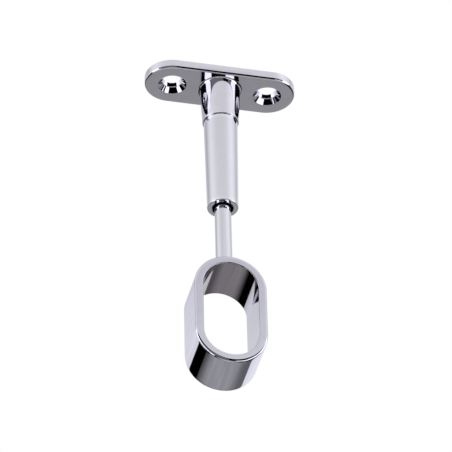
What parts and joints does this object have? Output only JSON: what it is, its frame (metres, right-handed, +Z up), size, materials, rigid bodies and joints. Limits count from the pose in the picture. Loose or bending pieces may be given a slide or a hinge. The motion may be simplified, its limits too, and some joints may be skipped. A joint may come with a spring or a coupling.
{
  "type": "handrail bracket",
  "caption": "Chrome centre bracket that hangs an oval rail below a shelf: countersunk plate, tapered sleeve, screw-in rod and oval ring.",
  "frame": {"origin": "middle of the mounting plate's top face, the face that meets the shelf", "axes": "+Z up into the shelf, +X along the mounting plate through both screw holes, +Y along the rail"},
  "size_m": [0.044, 0.016, 0.1026],
  "materials": {
    "plate_chrome": "bright chrome plate on a casting",
    "sleeve_chrome": "bright chrome plate, turned",
    "rod_chrome": "bright chrome plate, drawn rod",
    "ring_chrome": "bright chrome plate on a casting"
  },
  "bodies": {
    "holder": {"mounting_plate": "plate_chrome", "sleeve": "sleeve_chrome"},
    "hanger": {"threaded_rod": "rod_chrome", "rail_ring": "ring_chrome"}
  },
  "joints": [
    {"name": "height_adjust", "type": "slide", "parent": "holder", "child": "hanger", "axis": [0, 0, 1], "range_m": [-0.005, 0.01]}
  ]
}
